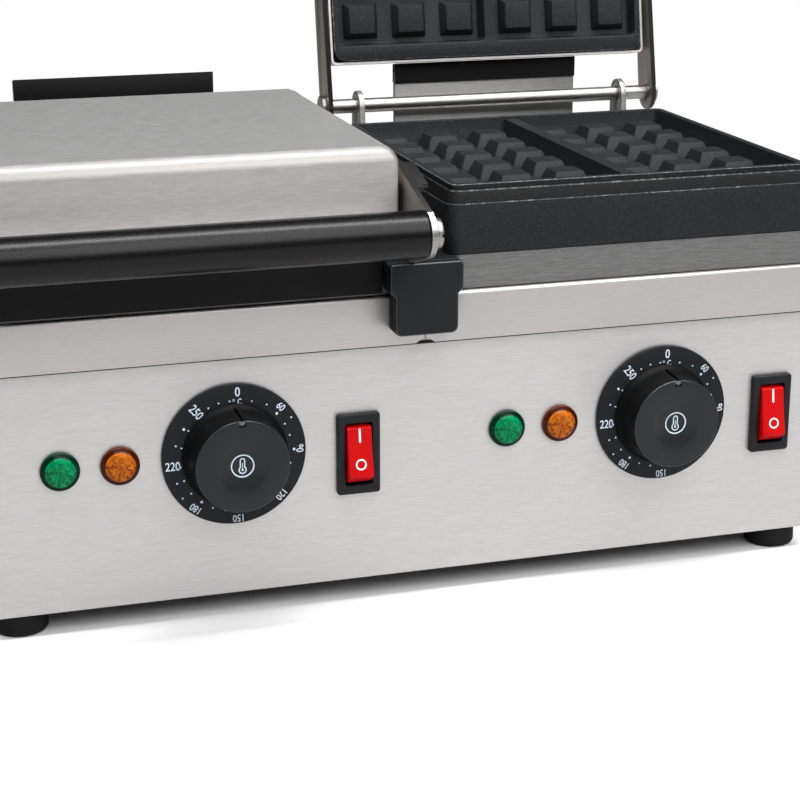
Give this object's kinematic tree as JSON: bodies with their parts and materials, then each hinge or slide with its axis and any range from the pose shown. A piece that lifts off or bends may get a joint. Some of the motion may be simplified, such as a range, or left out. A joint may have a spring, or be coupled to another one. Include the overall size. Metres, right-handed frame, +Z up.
{
  "type": "double waffle maker",
  "caption": "Twin-station countertop waffle iron with hinged lids, cast grid plates, dial and rocker controls on a brushed steel housing; one lid closed, one open",
  "frame": {"origin": "middle of the outline as stored, on the surface the feet stand on", "axes": "+X to the right as seen from the front, +Y from the front panel to the back, +Z up"},
  "size_m": [0.4268, 0.3112, 0.4664],
  "materials": {
    "body_steel": "light brushed stainless steel, grain along the front",
    "dark_steel": "duller bare stainless steel",
    "cast_plate": "dark grey cast iron with a fine grain and a non-stick coat",
    "guard_coating": "black speckled coating, satin",
    "handle_coating": "satin black sleeve with a fine texture",
    "black_plastic": "satin black moulded plastic",
    "dial_print_disc": "black disc with pale printed numbers",
    "red_rocker": "glossy bright red, translucent",
    "green_lens": "glossy green lens, unlit",
    "orange_lens": "glossy orange lens, unlit",
    "rubber": "matt black rubber",
    "bright_steel": "polished steel rods, nuts and screws",
    "ceramic_part": "matt cream ceramic"
  },
  "bodies": {
    "body": {"bottom_sheet": "dark_steel", "front_panel": "body_steel", "rear_shell": "body_steel", "shell_screw_left": "bright_steel", "shell_screw_middle": "bright_steel", "shell_screw_right": "bright_steel", "terminal_block": "ceramic_part", "cord_gland": "black_plastic", "block_base": "black_plastic", "block_cap": "black_plastic", "foot_front_left": "rubber", "foot_rear_left": "rubber", "foot_front_right": "rubber", "foot_rear_right": "rubber", "lamp_green_left": "green_lens", "lamp_orange_left": "orange_lens", "dial_disc_left": "dial_print_disc", "thermostat_left": "ceramic_part", "switch_housing_left": "black_plastic", "lamp_green_right": "green_lens", "lamp_orange_right": "orange_lens", "dial_disc_right": "dial_print_disc", "thermostat_right": "ceramic_part", "switch_housing_right": "black_plastic", "riser_left": "dark_steel", "lower_plate_left": "cast_plate", "lower_heater_left": "dark_steel", "hinge_bracket_left": "dark_steel", "stop_pad_left": "rubber", "top_cover_left": "body_steel", "riser_right": "dark_steel", "lower_plate_right": "cast_plate", "lower_heater_right": "dark_steel", "hinge_bracket_right": "dark_steel", "stop_pad_right": "rubber", "top_cover_right": "body_steel"},
    "lid_left": {"lid_shell_left": "body_steel", "upper_plate_left": "cast_plate", "upper_heater_left": "dark_steel", "guard_strip_left": "guard_coating", "arm_inner_left": "dark_steel", "arm_outer_left": "dark_steel", "handle_left": "handle_coating", "handle_rod_left": "bright_steel", "hinge_rod_left": "bright_steel"},
    "dial_left": {"knob_left": "black_plastic", "spindle_left": "bright_steel"},
    "switch_left": {"rocker_left": "red_rocker"},
    "lid_right": {"lid_shell_right": "body_steel", "upper_plate_right": "cast_plate", "upper_heater_right": "dark_steel", "guard_strip_right": "guard_coating", "arm_inner_right": "dark_steel", "arm_outer_right": "dark_steel", "handle_right": "handle_coating", "handle_rod_right": "bright_steel", "hinge_rod_right": "bright_steel"},
    "dial_right": {"knob_right": "black_plastic", "spindle_right": "bright_steel"},
    "switch_right": {"rocker_right": "red_rocker"}
  },
  "joints": [
    {"name": "lid_left_hinge", "type": "hinge", "parent": "body", "child": "lid_left", "pos_m": [-0.108, 0.1034, 0.208], "axis": [-1, 0, 0], "range_deg": [0, 100]},
    {"name": "dial_left_turn", "type": "hinge", "parent": "body", "child": "dial_left", "pos_m": [-0.09421, -0.1086, 0.0817], "axis": [0, 1, 0], "range_deg": [0, 315]},
    {"name": "switch_left_tilt", "type": "hinge", "parent": "body", "child": "switch_left", "pos_m": [-0.03349, -0.1056, 0.0761], "axis": [1, 0, 0], "range_deg": [0, 20]},
    {"name": "lid_right_hinge", "type": "hinge", "parent": "body", "child": "lid_right", "pos_m": [0.108, 0.1034, 0.208], "axis": [-1, 0, 0], "range_deg": [-100, 0]},
    {"name": "dial_right_turn", "type": "hinge", "parent": "body", "child": "dial_right", "pos_m": [0.1244, -0.1086, 0.0817], "axis": [0, 1, 0], "range_deg": [0, 315]},
    {"name": "switch_right_tilt", "type": "hinge", "parent": "body", "child": "switch_right", "pos_m": [0.18512, -0.1056, 0.0761], "axis": [1, 0, 0], "range_deg": [0, 20]}
  ]
}
